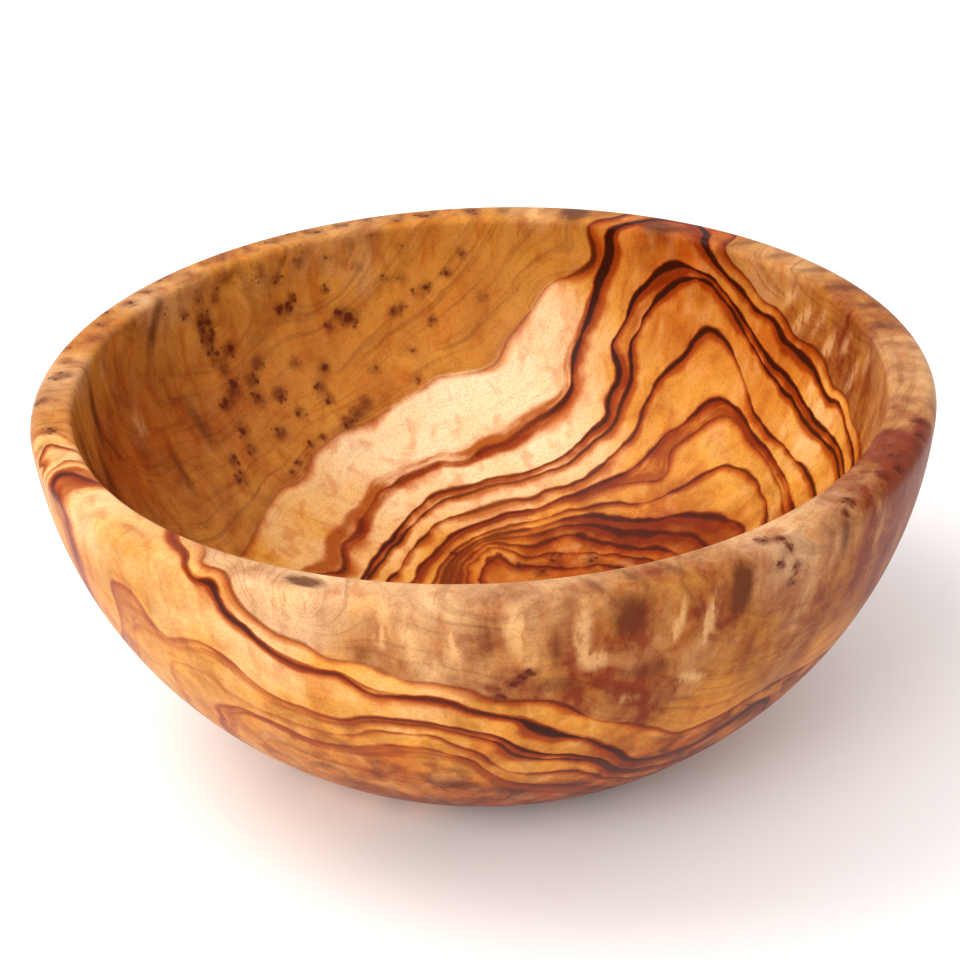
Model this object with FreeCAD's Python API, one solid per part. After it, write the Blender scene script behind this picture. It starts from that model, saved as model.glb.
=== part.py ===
"""Turned olive wood bowl: one piece of solid wood, with a round thick rim and a flat turned foot.

Millimetres. The origin is the centre of the foot, on the surface that the bowl stands on, and +Z is up.
The wall is a body of revolution. Outside it is an ellipse, cut level by the foot. Inside it is a
superellipse, so that the wall stays near one thickness and swells a little where it turns into the floor.
"""

import FreeCAD
import Part

import math
import os

# Driving dimensions
RIM_RADIUS = 80.0  # outside, at the rim
HEIGHT = 66.0
RIM_WALL = 8.0  # wall thickness at the rim
FLOOR_THICKNESS = 9.0  # on the axis

# Shape of the two faces of the wall
EQUATOR_HEIGHT = 69.5  # where both faces would be upright: just above the rim, so neither is undercut
OUTER_DEPTH = 77.7  # of the outer ellipse below its equator: past the foot, which cuts it off level
HOLLOW_POWER = 2.25  # superellipse exponent of the hollow: 2 is an ellipse, more is squarer
HOLLOW_POINTS = 13  # points that the hollow's curve is drawn through
POINT_CROWDING = 1.3  # above 1 the points stand closer together near the floor's middle
RIM_LEAN = 0.05  # how far the hollow still opens per unit of rise where it meets the rim

# Rounded edges
RIM_OUTER_ROUND = 2.4
RIM_INNER_ROUND = 1.6
FOOT_ROUND = 1.2

NODE = "bowl"
UP = FreeCAD.Vector(0, 0, 1)
SAME_PLACE = 0.01  # two sizes closer than this are the same


def at(radius, height):
    """A point of the section, in the XZ plane."""
    return FreeCAD.Vector(radius, 0, height)


def outer_face():
    """The outside of the section: the part of an ellipse between the foot and the rim."""
    rim_drop = (EQUATOR_HEIGHT - HEIGHT) / OUTER_DEPTH
    width = RIM_RADIUS / math.sqrt(1 - rim_drop**2)

    def on_ellipse(height):
        drop = (EQUATOR_HEIGHT - height) / OUTER_DEPTH
        return at(width * math.sqrt(1 - drop**2), height)

    top = at(0, EQUATOR_HEIGHT + OUTER_DEPTH)
    ellipse = Part.Ellipse(at(width, EQUATOR_HEIGHT), top, at(0, EQUATOR_HEIGHT))
    ends = sorted(ellipse.parameter(on_ellipse(height)) for height in (0.0, HEIGHT))
    return Part.ArcOfEllipse(ellipse, *ends).toShape()


def hollow_point(angle):
    """A point of the hollow's superellipse, from angle 0 at the equator to pi / 2 at the floor's middle."""
    width = RIM_RADIUS - RIM_WALL
    depth = EQUATOR_HEIGHT - FLOOR_THICKNESS
    power = 2 / HOLLOW_POWER
    return at(width * math.cos(angle) ** power, EQUATOR_HEIGHT - depth * math.sin(angle) ** power)


def hollow_face():
    """The inside of the section, from the middle of the floor, which is level there, up to the rim."""
    depth = EQUATOR_HEIGHT - FLOOR_THICKNESS
    rim_angle = math.asin(((EQUATOR_HEIGHT - HEIGHT) / depth) ** (HOLLOW_POWER / 2))
    span = math.pi / 2 - rim_angle
    points = [at(0.0, FLOOR_THICKNESS)]
    for step in range(1, HOLLOW_POINTS):
        share = step / (HOLLOW_POINTS - 1)
        points.append(hollow_point(math.pi / 2 - span * share**POINT_CROWDING))
    curve = Part.BSplineCurve()
    level = FreeCAD.Vector(1, 0, 0)
    nearly_upright = FreeCAD.Vector(RIM_LEAN, 0, 1)
    curve.interpolate(Points=points, InitialTangent=level, FinalTangent=nearly_upright)
    return curve.toShape()


def edges_at(solid, radius, height):
    """The full circles among a turned solid's edges that have this radius and lie at this height."""
    found = []
    for edge in solid.Edges:
        if edge.Degenerated or not isinstance(edge.Curve, Part.Circle):
            continue
        same_radius = abs(edge.Curve.Radius - radius) < SAME_PLACE
        same_height = abs(edge.Curve.Center.z - height) < SAME_PLACE
        if same_radius and same_height:
            found.append(edge)
    return found


def bowl():
    """The whole bowl: its section turned once round the axis, then its three corners rounded."""
    outside = outer_face()
    hollow = hollow_face()
    foot_edge, rim_outside = sorted((vertex.Point for vertex in outside.Vertexes), key=lambda point: point.z)
    rim_inside = hollow.valueAt(hollow.LastParameter)
    section = Part.Wire(
        [
            Part.makeLine(at(0, 0), foot_edge),
            outside,
            Part.makeLine(rim_outside, rim_inside),
            hollow,
            Part.makeLine(at(0, FLOOR_THICKNESS), at(0, 0)),
        ]
    )
    solid = Part.Face(section).revolve(at(0, 0), UP, 360)
    corners = (
        (rim_outside.x, HEIGHT, RIM_OUTER_ROUND),
        (rim_inside.x, HEIGHT, RIM_INNER_ROUND),
        (foot_edge.x, 0.0, FOOT_ROUND),
    )
    for radius, height, rounding in corners:
        solid = solid.makeFillet(rounding, edges_at(solid, radius, height))
    return solid


def main():
    os.makedirs("parts", exist_ok=True)
    shape = bowl()
    box = shape.optimalBoundingBox(False, False)
    print(f"{NODE}: valid {shape.isValid()}, solids {len(shape.Solids)}, {shape.Volume / 1000:.1f} cm3")
    print(f"box {box.XLength:.2f} x {box.YLength:.2f} x {box.ZLength:.2f} mm, lowest {box.ZMin:.3f}")
    shape.exportStep(f"parts/{NODE}.step")


main()
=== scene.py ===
"""Looks of the turned olive wood bowl: its surface, the figure of its wood, the studio and the camera.

Lengths named here are in design millimetres, on a bowl that is DESIGN_HEIGHT tall. One of them is turned into
metres by the height of the CAD bowl, so every place follows the frame. Azimuths are degrees round the bowl,
from 0 at the front (-Y), through 90 on the right (+X), to 180 at the back.
"""

import math

import bpy
import numpy as np
from mathutils import Matrix, Vector


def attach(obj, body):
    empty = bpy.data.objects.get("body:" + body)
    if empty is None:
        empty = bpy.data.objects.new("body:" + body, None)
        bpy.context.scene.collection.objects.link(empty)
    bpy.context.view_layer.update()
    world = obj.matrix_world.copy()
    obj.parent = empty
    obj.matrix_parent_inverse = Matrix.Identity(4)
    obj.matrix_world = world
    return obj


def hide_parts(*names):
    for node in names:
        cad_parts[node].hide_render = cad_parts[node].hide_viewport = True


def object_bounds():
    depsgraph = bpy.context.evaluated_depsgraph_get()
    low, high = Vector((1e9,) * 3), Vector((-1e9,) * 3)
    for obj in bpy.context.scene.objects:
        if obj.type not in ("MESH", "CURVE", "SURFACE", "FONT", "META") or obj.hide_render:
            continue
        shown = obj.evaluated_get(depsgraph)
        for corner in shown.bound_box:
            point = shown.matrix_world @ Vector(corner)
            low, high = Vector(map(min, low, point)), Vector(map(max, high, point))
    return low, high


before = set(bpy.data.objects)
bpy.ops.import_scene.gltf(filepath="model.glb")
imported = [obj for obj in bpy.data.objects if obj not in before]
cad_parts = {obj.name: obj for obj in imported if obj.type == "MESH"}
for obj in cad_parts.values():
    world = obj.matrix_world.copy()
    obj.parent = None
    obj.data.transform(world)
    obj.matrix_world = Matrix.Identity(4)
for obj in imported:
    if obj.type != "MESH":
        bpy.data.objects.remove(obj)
cad_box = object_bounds()

# The section of the bowl
DESIGN_HEIGHT = 66.0
EQUATOR_HEIGHT = 69.5  # where both faces of the wall would be upright
OUTER_WIDTH = 80.08
OUTER_DEPTH = 77.7
HOLLOW_WIDTH = 72.0
HOLLOW_DEPTH = 60.5
HOLLOW_POWER = 2.25
RIM_OUTER_ROUND = 2.4
RIM_INNER_ROUND = 1.6
FOOT_ROUND = 1.2
CLEAR_OF_BOX = 0.9995  # the whole surface is drawn in by this, so that it stays inside the CAD box
CLEAR_OF_FLOOR = 0.015  # and it is all lifted by this, off the surface that the bowl stands on

# The mesh: how many points there are round the bowl, and how many rows on each stretch of its section
AROUND = 460
ROWS_HOLLOW = 92
ROWS_RIM_ROUND = 8
ROWS_RIM_TOP = 4
ROWS_SIDE = 82
ROWS_FOOT_ROUND = 4
ROWS_FOOT = 12
DENSE = 4000  # points of each curve before it is divided into rows
NEARLY_ZERO = 1e-6

MM = (cad_box[1].z - cad_box[0].z) / DESIGN_HEIGHT  # metres in one design millimetre


# ---- places on the bowl


def outer_radius(height):
    return OUTER_WIDTH * np.sqrt(1 - ((EQUATOR_HEIGHT - height) / OUTER_DEPTH) ** 2)


def hollow_radius(height):
    drop = (EQUATOR_HEIGHT - height) / HOLLOW_DEPTH
    return HOLLOW_WIDTH * (1 - drop**HOLLOW_POWER) ** (1 / HOLLOW_POWER)


def hollow_height(radius):
    out = radius / HOLLOW_WIDTH
    return EQUATOR_HEIGHT - HOLLOW_DEPTH * (1 - out**HOLLOW_POWER) ** (1 / HOLLOW_POWER)


def round_axis(azimuth, radius, height):
    """A point from its azimuth in degrees, its distance from the axis and its height."""
    turn = math.radians(azimuth)
    return np.array([radius * math.sin(turn), -radius * math.cos(turn), height])


def floor(x, y):
    """A place inside, seen in plan."""
    return np.array([x, y, hollow_height(math.hypot(x, y))])


def wall(azimuth, height):
    """A place on the wall inside."""
    return round_axis(azimuth, hollow_radius(height), height)


def side(azimuth, height):
    """A place on the outside."""
    return round_axis(azimuth, outer_radius(height), height)


def rim(azimuth, radius):
    """A place on the top of the rim."""
    return round_axis(azimuth, radius, DESIGN_HEIGHT)


# ---- where the growth rings lie

# The heartwood is a slab of nested lobes that crosses the bowl from front left to back right. A ring's level
# is 0 at the slab's boundary with the burl and rises to 10 at its pith. The burl is below 0. Each row has a
# level, a surface, and places on it where the rings have that level.
RINGS = (
    # the boundary
    (0, floor, ((-46, 18), (-44, 26), (-40, 35), (-34, 45), (-28, 51), (-18, 57), (-9, 62), (1, 63))),
    (0, wall, ((177, 37), (174.5, 42), (170.5, 48), (166, 54), (160.5, 58))),
    (0, wall, ((262, 26), (274, 40), (282, 60))),
    (0, wall, ((90, 46.8), (99, 48.3), (107, 49.9), (120, 53.4), (128, 57.4), (136, 63))),
    (0, rim, ((-79, 77), (-75, 73), (-74, 80.5), (-39.5, 72), (-35, 78), (158.5, 75))),
    # two close lines on the left of the rim
    (0.45, rim, ((-76, 77), (-72.5, 73), (-72, 80.5))),
    (0.8, rim, ((-72, 77), (-68.5, 73), (-68, 80.5))),
    # the boundary again, on the outside
    (0, side, ((-70, 67), (-72, 62), (-74, 50), (-76, 35))),
    (0, side, ((-31, 65), (-29, 61), (-26, 58), (-22, 57), (-19, 54.5), (-15, 54), (-10, 51.3), (-4, 50))),
    (0, side, ((0, 47.5), (5, 46.5), (9, 43.5), (13, 39.5), (20, 34.8))),
    (0, side, ((26, 30.5), (33, 31.6), (40, 34), (48, 33))),
    (0, side, ((60, 30), (75, 34), (95, 40), (115, 48), (132, 58))),
    # the first, thickest vein
    (1.25, wall, ((158, 64), (159, 56), (160, 50), (161.5, 43), (163, 36))),
    (1.25, wall, ((140, 63.5), (134, 58.5), (127, 55.3), (120, 52))),
    (1.25, wall, ((113, 50), (106, 48.5), (99, 46.8), (92.5, 45))),
    (1.1, floor, ((18, 59.5), (10, 56.7), (0, 53.3), (-9, 50.5))),
    (1.1, floor, ((-17, 47), (-22, 43.5), (-26, 36.5), (-30, 30))),
    (1.1, floor, ((-31.5, 22),)),
    (1.45, floor, ((15, 55), (5, 51.6), (-4, 49), (-12, 47.3), (-17, 43.5), (-21, 39), (-24, 32), (-27, 22))),
    (1.25, wall, ((75, 42), (50, 36), (20, 34), (-10, 40), (-30, 52))),
    (1.25, rim, ((-66.5, 77), (-61.5, 72.5), (-63, 80.5), (-43.5, 72.5))),
    (1.25, rim, ((-38, 77), (-33.5, 80), (149, 78.5), (142, 73))),
    (1.25, side, ((-61.5, 63), (-62, 57), (-63, 50), (-65, 42), (-68, 30), (-70, 18))),
    (1.25, side, ((-33, 64), (-30, 57.5), (-26.5, 53.8), (-22.5, 51.8))),
    (1.25, side, ((-18.5, 51.8), (-16, 48.6), (-10, 48))),
    (1.25, side, ((-5.5, 47.3), (-2.5, 44.8), (2, 43), (5, 39.5))),
    (1.25, side, ((8.5, 36.8), (12, 35), (15, 31), (18.5, 26))),
    (1.25, side, ((23, 23.5), (29, 23), (34, 25.7), (40, 29.3), (45, 23), (55, 20))),
    # the plain golden wood between the first vein and the second
    (1.75, rim, ((-59, 77), (-46, 77))),
    (2.1, rim, ((-53, 76), (149, 73))),
    (2, side, ((-53, 64), (-42, 63), (-56.5, 58), (-36, 56), (-58, 47))),
    (2, side, ((-28, 48), (-18, 45), (-7, 43), (2, 39))),
    # the double second vein
    (2.6, wall, ((93, 41.6), (106, 42.9), (116, 44.6), (123, 47), (129, 49.5), (134.5, 54.5), (138.5, 58))),
    (2.6, wall, ((143, 59.7), (147.6, 59.2), (150.3, 55.4), (153, 51))),
    (2.6, wall, ((154.4, 46.4), (155.9, 42.2), (154, 37.5))),
    (2.6, wall, ((155.3, 33), (157, 28.5))),
    (2.95, wall, ((140, 57.7), (145.3, 57), (149.2, 51.8), (151.3, 46.8))),
    (2.95, wall, ((152.5, 42.7), (151.5, 37), (152.5, 32.5))),
    (2.95, wall, ((95, 40.4), (106, 41.6), (116, 43.2), (123, 45.6), (129, 48.3), (134.5, 53))),
    (2.6, floor, ((24, 52), (18, 49.4), (10, 47.5), (0, 46.3))),
    (2.6, floor, ((-7, 45.1), (-11, 43.2), (-14.8, 39), (-18, 35.2))),
    (2.6, floor, ((-20.5, 31), (-22.5, 26.5), (-24.5, 21))),
    (2.95, floor, ((13, 46.4), (5, 45.2), (-1, 44.5), (-6.5, 43.2))),
    (2.95, floor, ((-10, 41), (-13.5, 37), (-17, 33), (-20, 27))),
    (2.6, side, ((-63, 34), (-57, 40.4), (-53.5, 48), (-52.3, 54), (-49.5, 56), (-46.5, 53.5), (-43, 48.8))),
    # the third vein, with places just past it that hold the rings there close together
    (4, wall, ((112, 35.5), (119, 36.3), (125, 38.7), (130, 43.3), (134, 47.2), (138, 49.3), (140.7, 47))),
    (4, wall, ((143, 42.5), (146, 38), (147.2, 33), (148.5, 28))),
    (4, floor, ((30, 47.8), (24.4, 45.6), (18, 43.4), (10, 42.3))),
    (4, floor, ((0, 41), (-6, 39.3), (-10.5, 36.4), (-14, 33))),
    (4, floor, ((-16.5, 28.5), (-18.5, 23))),
    (4.35, floor, ((10, 40.8), (0, 39.7), (-5, 37.8), (-9.5, 34.8), (-12.5, 31), (-16, 24))),
    (3.5, side, ((-56, 24.3), (-51.5, 32), (-49.5, 39.5), (-46.5, 44.3))),
    (3.5, side, ((-41, 45.6), (-35, 44.3), (-31, 39.5))),
    (4.2, side, ((-52, 22), (-47.5, 31), (-45.8, 38.5), (-42.5, 42.3), (-38.5, 42.5), (-36.5, 40))),
    (3, side, ((-18, 39.3), (-11, 41), (-5, 39.5), (0, 36.5), (3, 31.5))),
    (3, side, ((6, 30.1), (10, 29.5), (14.5, 26), (18.5, 21))),
    (4, side, ((-16, 38.5), (-8, 38.3), (-5, 35.5), (-1.5, 31))),
    (4, side, ((2.5, 27), (7.5, 25.8), (13.5, 23.5), (19, 18))),
    # the fourth vein: a broad brown lobe
    (5, wall, ((104.7, 31.6), (112, 32.6), (119, 34.5), (126, 36.9))),
    (5, wall, ((131, 37.6), (135, 36.4), (138, 32.4))),
    (5, wall, ((141.3, 29), (144, 25.2))),
    (5.6, wall, ((108, 30.6), (117, 32.6), (126, 35.2), (130.7, 35.2), (134, 32.6), (137.3, 28.3))),
    (5, floor, ((30, 42.4), (20, 41.3), (10, 39.8), (2, 38.3), (-4, 36), (-9, 32))),
    (5.6, floor, ((35, 37.4), (30, 39.2), (24, 40.1))),
    (5, side, ((-38, 36), (-42, 29), (-46, 21))),
    (5, side, ((-16, 34), (-12.5, 34.8), (-7, 33.8), (-2.5, 30.5), (0, 26))),
    # the fifth, a thin line
    (6.5, floor, ((53.3, 17.8), (52, 24), (49.4, 29.7), (44.4, 33.6))),
    (6.5, floor, ((36, 34), (29.4, 34.9), (24, 37.4), (15, 38.2))),
    (6.5, floor, ((5, 36.6), (-2.5, 33.8), (-7, 30.8), (-9.5, 26), (-11, 22))),
    (6, side, ((-33.5, 34), (-37, 30), (-40, 25), (-43, 16), (-20, 29), (-3, 20))),
    # the dark streaky wood round the pith, and the pith
    (7.2, floor, ((7, 35), (13, 36), (18.3, 36), (25, 33.7))),
    (7.2, floor, ((33.3, 29.4), (41.7, 25.6), (46.5, 20.6), (49, 15))),
    (8.4, floor, ((10, 32), (19.4, 30.4), (27.8, 26), (33.3, 22), (37, 17))),
    (9, floor, ((0, 30), (8, 29), (17.8, 27), (25, 24.5), (31, 20))),
    (9.6, floor, ((-2, 25), (5, 27), (13, 25.5), (20, 23), (26, 20))),
    (10, floor, ((8, 22), (15, 18))),
    # the burl on both sides of the slab
    (-1.2, wall, ((112, 59), (98, 57), (85, 55))),
    (-2, wall, ((182, 60), (190, 50), (205, 40), (230, 35), (255, 40))),
    (-3.5, wall, ((205, 58), (225, 55), (250, 60))),
    (-1.2, side, ((0, 57), (20, 48), (45, 42))),
    (-2.4, side, ((-22, 62.5),)),
    (-2.2, side, ((0, 66), (30, 60), (60, 52), (90, 58))),
    (-1.5, rim, ((-90, 76), (-15, 76), (20, 76), (128, 76), (172, 76))),
    (-3, rim, ((60, 76), (215, 76), (245, 76))),
    (-3, side, ((200, 50), (225, 35), (250, 50), (215, 15))),
)
SMOOTHNESS = 3.0  # how round the rings bend between their places
LOOSENESS = 0.15  # how far they may pass by a place
BATCHES = 40  # the points are worked out in this many goes, to save memory


class GrowthField:
    """A smooth field through space that takes each ring's level at each of its places."""

    def __init__(self):
        self.places = np.array([surface(*place) for _, surface, places in RINGS for place in places])
        levels = np.array([level for level, _, places in RINGS for _ in places])
        count = len(levels)
        plane = self.plane(self.places)
        system = np.zeros((count + 4, count + 4))
        system[:count, :count] = self.kernel(self.places) + LOOSENESS * np.eye(count)
        system[:count, count:] = plane
        system[count:, :count] = plane.T
        self.weights = np.linalg.solve(system, np.concatenate([levels, np.zeros(4)]))

    def plane(self, points):
        return np.column_stack([np.ones(len(points)), points / DESIGN_HEIGHT])

    def kernel(self, points):
        apart = points[:, None, :] - self.places[None, :, :]
        return -np.sqrt((apart**2).sum(axis=2) + SMOOTHNESS**2)

    def at(self, points):
        found = []
        for part in np.array_split(points, BATCHES):
            count = len(self.places)
            found.append(self.kernel(part) @ self.weights[:count] + self.plane(part) @ self.weights[count:])
        return np.concatenate(found)


# ---- tones of the wood

# Each tone has its place, how far it reaches, and three amounts. Amber is 0 for cream, 0.5 for golden and 1
# for orange. Dusk is 0 where the wood is clear, and 1 or more where it is dark brown. Ink darkens the veins.
# Where marked below, the cream is partly a painted highlight and the dusk partly painted shade.
TONES = (
    (floor(-38, 32), 8, 0.42, 0.06, 0.75),
    (floor(-30, 44), 7, 0.22, 0.06, 0.85),
    # Here, and at floor(5, 54) and floor(20, 48), the pale cream is partly the wood's own colour and partly a
    # painted highlight, where the oiled floor shines under the lights.
    (floor(-10, 56), 8, 0.04, 0, 0.8),
    (floor(8, 58), 8, 0, 0, 0.6),
    (floor(0, 48), 7, 0.06, 0, 0.6),
    (floor(-15, 40), 7, 0.15, 0, 0.9),
    (floor(-26, 37), 4.5, 0.4, 0.04, 0.15),
    (floor(-29, 28), 4.5, 0.45, 0.04, 0.15),
    (floor(-13, 49), 4.5, 0.1, 0, 0.15),
    (floor(5, 54), 5, 0.02, 0, 0.15),
    (floor(-20, 26), 8, 0.3, 0.05, 1),
    (floor(20, 48), 7, 0.16, 0, 0.75),
    (floor(5, 40), 6, 0.2, 0.02, 0.75),
    (floor(25, 42), 6, 0.4, 0.05, 0.95),
    (floor(20, 30), 8, 0.95, 0.45, 1),
    (floor(36, 24), 7, 1, 0.45, 1),
    (floor(46, 31), 6, 0.45, 0, 0.9),
    (floor(0, 20), 14, 0.7, 0.15, 0.9),
    (floor(-9, 26), 7, 0.5, 0, 0.7),
    (wall(168, 45), 7, 0.12, 0, 0.8),
    (wall(168, 32), 7, 0.15, 0, 1),
    (wall(158, 58), 5, 0.7, 0.1, 1.5),
    (wall(157, 45), 6, 0.5, 0.04, 1.25),
    (wall(145, 51), 7, 1, 0.12, 1.2),
    (wall(138, 42), 7, 0.65, 0, 1),
    (wall(125, 42), 7, 0.6, 0, 1),
    (wall(112, 40), 6, 0.2, 0, 0.8),
    (wall(131, 31), 5, 0.38, 0, 0.9),
    (wall(123, 50), 5, 0.95, 0.25, 1.4),
    (wall(105, 44), 7, 0.38, 0, 1),
    (wall(112, 58), 9, 0.6, 0.92, 0.9),
    (wall(97, 56), 9, 0.55, 0.8, 0.9),
    (wall(80, 50), 10, 0.5, 0.6, 0.9),
    (wall(170, 61), 6, 0.55, 0.25, 0.7),
    (wall(188, 56), 8, 0.7, 0.15, 0.6),
    (wall(190, 42), 8, 0.62, 0.1, 0.6),
    (wall(205, 50), 9, 0.78, 0.28, 0.6),
    (wall(210, 36), 9, 0.7, 0.22, 0.6),
    # From here to wall(232, 28), the dusk on the inner left wall is partly the burl's own brown and partly
    # painted shade, on the wall that faces away from the key light.
    (wall(228, 48), 9, 0.85, 0.55, 0.6),
    (wall(248, 50), 10, 1, 0.78, 0.6),
    (wall(266, 50), 10, 1, 0.84, 0.6),
    (wall(232, 28), 8, 0.75, 0.48, 0.6),
    (rim(-52, 76), 8, 0.25, 0.16, 0.6),
    (rim(-73, 76), 7, 0.34, 0.2, 0.85),
    (rim(-95, 76), 10, 0.1, 0.42, 0.6),
    (rim(-30, 76), 7, 0.25, 0.45, 0.9),
    (rim(-12, 76), 8, 0.12, 0.26, 0.7),
    (rim(10, 76), 9, 0.12, 0.3, 0.7),
    (rim(40, 76), 12, 0.12, 0.24, 0.7),
    (rim(85, 76), 12, 0.12, 0.36, 0.7),
    (rim(125, 76), 10, 0.35, 0.5, 0.8),
    (rim(149, 75), 8, 0.95, 0.45, 1.3),
    (rim(165, 76), 4, 0.45, 0.8, 0.8),
    (rim(172, 76), 4, 0.2, 0.5, 0.7),
    (rim(198, 76), 12, 0.22, 0.66, 0.7),
    (rim(235, 76), 12, 0.2, 0.6, 0.7),
    (side(-50, 60), 8, 0.5, 0.24, 0.4),
    (side(-45, 66), 6, 0.36, 0.24, 0.5),
    (side(-62, 50), 7, 0.7, 0.15, 0.5),
    (side(-75, 50), 9, 0.65, 0.3, 0.6),
    (side(-40, 50), 7, 0.54, 0.3, 0.35),
    (side(-32, 56), 5, 0.35, 0.1, 1),
    (side(-30, 46), 8, 0.32, 0.1, 0.4),
    (side(-14, 44), 7, 0.42, 0.08, 0.7),
    (side(-45, 32), 9, 0.6, 0.24, 0.4),
    # Here, and at side(-2, 18), side(20, 12) and side(50, 26), the dusk low on the outside is partly the
    # wood's own colour and partly painted shade of the underside, which faces the floor.
    (side(-25, 34), 8, 0.68, 0.42, 0.45),
    (side(-20, 24), 8, 0.85, 0.55, 0.5),
    (side(0, 34), 8, 0.62, 0.4, 0.65),
    (side(6, 39), 5, 0.7, 0.15, 1.4),
    (side(8, 30), 8, 0.65, 0.32, 0.85),
    (side(-2, 18), 8, 0.9, 0.65, 0.6),
    (side(20, 12), 10, 1, 0.7, 0.8),
    (side(-24, 62), 5, 0.15, 0.4, 0.9),
    (side(-12, 59), 6, 0.5, 0.84, 0.8),
    (side(3, 58), 7, 0.5, 0.94, 0.8),
    (side(16, 61), 7, 0.5, 1, 0.9),
    (side(14, 50), 7, 0.5, 0.96, 0.95),
    (side(30, 58), 8, 0.5, 1, 0.9),
    (side(32, 45), 7, 0.5, 0.85, 0.9),
    # From here to side(78, 55), the dusk on the right of the outside is partly the burl's own brown and
    # partly painted shade, on the side away from the key light.
    (side(50, 56), 9, 0.6, 1.1, 0.8),
    (side(66, 61), 8, 0.6, 1.25, 0.8),
    (side(55, 46), 7, 0.5, 0.85, 0.8),
    (side(78, 55), 10, 0.55, 0.9, 0.8),
    (side(30, 38), 4, 0.65, 0.05, 0.9),
    (side(50, 38.5), 4, 0.65, 0.05, 0.9),
    # Partly painted shade of the underside, as above.
    (side(50, 26), 8, 0.85, 0.7, 1),
    (side(120, 45), 25, 0.7, 0.3, 0.9),
    (side(180, 45), 30, 0.55, 0.45, 0.8),
    (side(230, 45), 30, 0.55, 0.45, 0.8),
)
HEART_TONE = (0.60, 0.10, 0.9)  # what the two woods tend to, far from all of these places
BURL_TONE = (0.55, 0.50, 0.8)
FAR_TONE_WEIGHT = 0.02

# Where the two close lines on the left of the rim show, and how far from there
CHEVRON_PLACE = rim(-74, 77)
CHEVRON_REACH = 10.0

# Burl eyes: how far each one's stain reaches, how dark it is, its surface, and the places
EYES = (
    (1.3, 0.8, wall, ((182, 59), (184.5, 55), (188, 52.5), (190, 51.5))),
    (1.3, 0.8, wall, ((192.5, 49.5), (194, 48.5), (187.5, 46))),
    (1.5, 0.6, wall, ((191.5, 41), (191.5, 36.3), (199, 38.7), (199, 58.5))),
    (1.5, 0.6, wall, ((195, 55.5), (192, 54.5), (179, 50))),
    (2.1, 1.0, wall, ((201.5, 48.8), (228, 54), (228, 57), (226, 43))),
    (1.3, 0.9, wall, ((203.5, 50.3), (205.5, 48), (211, 55.5), (212, 53.5), (213.5, 54), (205, 55.5))),
    (1.6, 0.8, wall, ((202, 33.5), (204.5, 32.3), (206.5, 31), (208, 41), (210, 38), (209, 35.5), (213, 43))),
    (1.7, 0.9, wall, ((218, 39), (220, 45.5), (222, 43), (222.5, 39.5), (224.5, 50), (228, 50), (227, 47))),
    (1.8, 0.8, wall, ((229, 41), (228, 36), (228, 32.5), (233.5, 32.5), (234.5, 29.5), (221, 33), (215, 35))),
    (0.8, 1.0, wall, ((213, 30.2), (216, 29.8), (220.5, 28), (223, 27), (207, 31.5))),
    (1.4, 0.7, wall, ((216, 63), (219, 60), (222, 63.5), (225, 60.5))),
    (1.4, 0.7, wall, ((228, 63), (213, 60), (232, 60), (209, 62))),
    (1.8, 0.7, floor, ((6, 26), (10, 24), (13, 27), (-7, 30), (20, 25))),
    (1.1, 1.0, side, ((0.5, 48), (2, 50.5), (-0.5, 50), (4, 53), (3, 51.5))),
    (1.2, 1.0, side, ((35, 63), (36.5, 65), (37.5, 61.5), (36.8, 59))),
    (1.3, 1.0, rim, ((34.5, 76.5), (36.5, 77.5), (47, 79), (49, 77.5), (57, 78))),
    (1.3, 1.0, rim, ((60, 79), (62, 77), (69, 79), (72, 78))),
    (1.8, 0.7, rim, ((265, 76.5), (272, 78), (281, 76), (285, 79))),
    (1.7, 0.6, rim, tuple((180 + 4 * turn, 74.5 + 1.7 * (turn * 2 % 3)) for turn in range(22))),
    (1.9, 0.45, wall, tuple((192 + 4 * turn, 61.5 + 1.5 * (turn * 2 % 3)) for turn in range(14))),
    (1.6, 0.5, rim, ((180, 77), (187, 75), (194, 78), (205, 76))),
    (1.6, 0.5, rim, ((214, 78), (221, 75.5), (230, 78), (240, 76))),
    (1.7, 0.8, side, ((190, 56), (195, 50), (203, 54), (214, 46))),
    (1.7, 0.8, side, ((224, 40), (231, 52), (242, 58), (238, 33))),
    (1.3, 0.9, side, ((192, 53), (198, 51), (201, 47), (216, 43))),
    (1.3, 0.9, side, ((219, 48), (228, 49), (234, 55), (245, 55))),
    (1.5, 0.7, side, ((252, 48), (257, 52), (210, 33), (206, 29))),
    (1.5, 0.7, side, ((226, 24), (183, 44), (179, 49), (265, 57))),
)

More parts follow.
